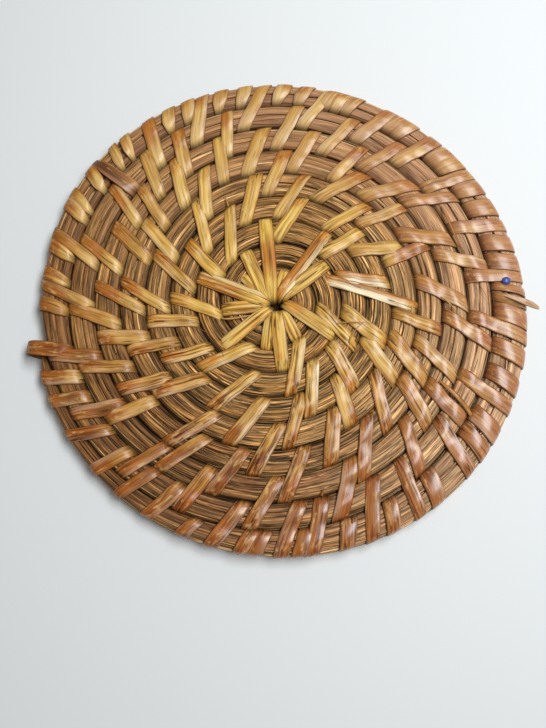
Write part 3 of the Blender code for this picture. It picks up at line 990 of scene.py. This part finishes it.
    # A coat as oil leaves, where the peel shines
    rough = node(tree, "MapRange", {"Value": patches, "To Min": 0.38, "To Max": 0.72})
    rough = node(tree, "Math", {0: look["shine"], 1: -0.18, 2: rough}, operation="MULTIPLY_ADD")
    tree.links.new(rough, shader.inputs["Roughness"])
    tree.links.new(look["shine"], shader.inputs["Coat Weight"])
    relief = node(tree, "Math", {0: cracks, 1: 0.8, 2: grain}, operation="MULTIPLY_ADD")
    relief = node(tree, "Math", {0: relief, 1: rough_share}, operation="MULTIPLY")
    bump = node(tree, "Bump", {"Height": relief, "Strength": 0.7, "Distance": 0.32 * MM})
    tree.links.new(bump, shader.inputs["Normal"])
    relief = node(tree, "Math", {0: cracks, 1: 0.05, 2: lumps}, operation="MULTIPLY_ADD")
    bump = node(tree, "Bump", {"Height": relief, "Strength": 0.6, "Distance": 0.5 * MM})
    tree.links.new(bump, shader.inputs["Coat Normal"])
    return material


def rattan_core():
    """Split rattan core, smoked: dull flat strands with soft grain, and thin dark pores and cracks."""
    material = start_material("rattan core", {
        "Roughness": 0.55, "Metallic": 0.0, "IOR": 1.45, "Specular IOR Level": 0.25,
    })
    tree = material.node_tree
    shader = tree.nodes["Principled BSDF"]
    lengths = node(tree, "UVMap", uv_map="lengths")
    names = ("tone", "smoke", "grey", "golden", "cracks", "edge", "deep")
    look = {name: node(tree, "Attribute", attribute_name=name) for name in names}

    # Grain 0.6 mm wide and 18 mm long, drawn coarser than the real fibres so that it shows
    grain = streaks(tree, lengths, 18, 0.6, 3.0, 0.6)
    # Stretches of lighter and darker strand, 1.6 mm wide and 14 mm long
    stretches = streaks(tree, lengths, 14, 1.6, 2.0, 0.5)
    # Lines where two fibres part: the middle values of streaks 1.3 mm wide and 34 mm long
    borders = streaks(tree, lengths, 34, 1.3, 1.0, 0.4)
    # Pores and cracks: the darkest parts of streaks 0.5 mm wide and 7 mm long
    cracks = streaks(tree, lengths, 7, 0.5, 2.5, 0.6)

    # From pale to smoked, by the strand, its stretches and its place
    shade = node(tree, "Math", {0: look["tone"], 1: 0.80, 2: -0.42}, operation="MULTIPLY_ADD")
    shade = node(tree, "Math", {0: stretches, 1: 0.65, 2: shade}, operation="MULTIPLY_ADD")
    shade = node(tree, "Math", {0: look["smoke"], 1: 0.24, 2: shade}, operation="MULTIPLY_ADD")
    body = node(tree, "ValToRGB", {"Fac": shade}, (
        (0.0, "#E0B676"), (0.3, "#C29152"), (0.6, "#986838"), (1.0, "#5A3916"),
    ))
    gilt = node(tree, "Math", {0: look["golden"], 1: 0.5}, operation="MULTIPLY")
    body = node(tree, "Mix", {"Factor": gilt, "A": body, "B": linear("#B58240")}, data_type="RGBA")
    # Greyer and a little redder towards the rim at the right
    dull = node(tree, "Math", {0: look["grey"], 1: -0.16, 2: 1.0}, operation="MULTIPLY_ADD")
    redder = node(tree, "Math", {0: look["grey"], 1: -0.012, 2: 0.499}, operation="MULTIPLY_ADD")
    greyed = node(tree, "HueSaturation", {"Hue": redder, "Saturation": dull, "Color": body})
    lines = node(tree, "ValToRGB", {"Fac": grain}, (
        (0.36, 0.16), (0.44, 0.70), (0.53, 1.0), (0.62, 2.0),
    ))
    rough_share = node(tree, "Math", {0: look["cracks"], 1: 0.9, 2: 0.14}, operation="MULTIPLY_ADD")
    grained = node(
        tree, "Mix", {"Factor": rough_share, "A": greyed, "B": lines}, data_type="RGBA",
        blend_type="MULTIPLY",
    )
    split = node(tree, "Math", {0: look["cracks"], 1: -0.10, 2: cracks}, operation="MULTIPLY_ADD")
    split = node(tree, "ValToRGB", {"Fac": split}, ((0.26, 0.8), (0.36, 0.0)))
    cracked = node(tree, "Mix", {"Factor": split, "A": grained, "B": linear("#402410")}, data_type="RGBA")
    parted = node(tree, "ValToRGB", {"Fac": borders}, (
        (0.45, 1.0), (0.482, 0.18), (0.518, 0.18), (0.55, 1.0),
    ))
    parted = node(
        tree, "Mix", {"Factor": look["cracks"], "A": cracked, "B": parted}, data_type="RGBA",
        blend_type="MULTIPLY",
    )
    # Painted shade where two strands touch, and painted shadow in the grooves
    strand_contact_shade = node(tree, "ValToRGB", {"Fac": look["edge"]}, ((0.80, 1.0), (0.97, 0.62)))
    edged = node(
        tree, "Mix", {"Factor": look["cracks"], "A": parted, "B": strand_contact_shade}, data_type="RGBA",
        blend_type="MULTIPLY",
    )
    dusk = node(tree, "ValToRGB", {"Fac": look["deep"]}, ((0.0, 1.0), (1.0, 0.22)))
    shaded = node(
        tree, "Mix", {"Factor": 1.0, "A": edged, "B": dusk}, data_type="RGBA", blend_type="MULTIPLY",
    )
    tree.links.new(shaded, shader.inputs["Base Color"])
    relief = node(tree, "Math", {0: cracks, 1: 0.8, 2: grain}, operation="MULTIPLY_ADD")
    relief = node(tree, "Math", {0: relief, 1: rough_share}, operation="MULTIPLY")
    bump = node(tree, "Bump", {"Height": relief, "Strength": 0.8, "Distance": 0.5 * MM})
    tree.links.new(bump, shader.inputs["Normal"])
    return material


def blue_paint():
    """A dried drop of dark blue gloss paint, with a clear highlight."""
    return start_material("blue gloss paint", {
        "Base Color": linear("#3C5090"), "Roughness": 0.42, "Coat Weight": 0.25,
    })


# The stage

def make_stage():
    """A pale, matt floor, which takes soft shadows."""
    deselect()
    bpy.ops.mesh.primitive_plane_add(size=3.0, location=(0, 0, 0))
    floor = bpy.context.object
    floor.name = "floor"
    paper = start_material("matt paper", {"Base Color": linear("#E5E9E9"), "Roughness": 0.8})
    floor.data.materials.append(paper)


def add_light(name, place, target, size, power, colour):
    light = bpy.data.lights.new(name, "AREA")
    light.shape = "RECTANGLE"
    light.size, light.size_y = size
    light.energy = power
    light.color = linear(colour)[:3]
    holder = bpy.data.objects.new(name, light)
    bpy.context.collection.objects.link(holder)
    holder.location = place
    aim = Vector(target) - Vector(place)
    holder.rotation_euler = aim.to_track_quat("-Z", "Y").to_euler()


def light_scene():
    """Soft daylight from a window at the back right, in a dim pale room."""
    bpy.context.scene.view_settings.view_transform = "Standard"
    world = bpy.data.worlds.new("room")
    bpy.context.scene.world = world
    world.use_nodes = True
    air = world.node_tree.nodes["Background"]
    air.inputs["Color"].default_value = linear("#F2F0EC")
    air.inputs["Strength"].default_value = 0.24
    add_light("window", (0.22, 0.10, 0.55), (0, 0.10, 0), (0.46, 0.20), 3.7, "#FBFCFF")


def add_camera():
    """The photograph's view: almost straight down, leaning 10 degrees towards the front."""
    lean, roll, distance = math.radians(10.18), math.radians(0.80), 255.7 * MM
    back = Vector((0, -math.sin(lean), math.cos(lean)))
    right = Vector((1, 0, 0))
    up = back.cross(right)
    turned_right = math.cos(roll) * right + math.sin(roll) * up
    turned_up = -math.sin(roll) * right + math.cos(roll) * up
    target = Vector((HOLE[0] - 1.9 * MM, HOLE[1] - 21.7 * MM, 7.0 * MM))
    data = bpy.data.cameras.new("camera")
    data.sensor_fit = "VERTICAL"
    data.sensor_height = 36.0
    data.lens = 34.6
    data.clip_start = 0.01
    camera = bpy.data.objects.new("camera", data)
    bpy.context.collection.objects.link(camera)
    rotation = Matrix((turned_right, turned_up, back)).transposed().to_4x4()
    camera.matrix_world = Matrix.Translation(target + back * distance) @ rotation
    bpy.context.scene.camera = camera


add_camera()
peel = rattan_peel()
core = rattan_core()
make_core(core)
make_peel(peel)
make_loose_ends(peel)
make_drop(blue_paint())
make_stage()
light_scene()
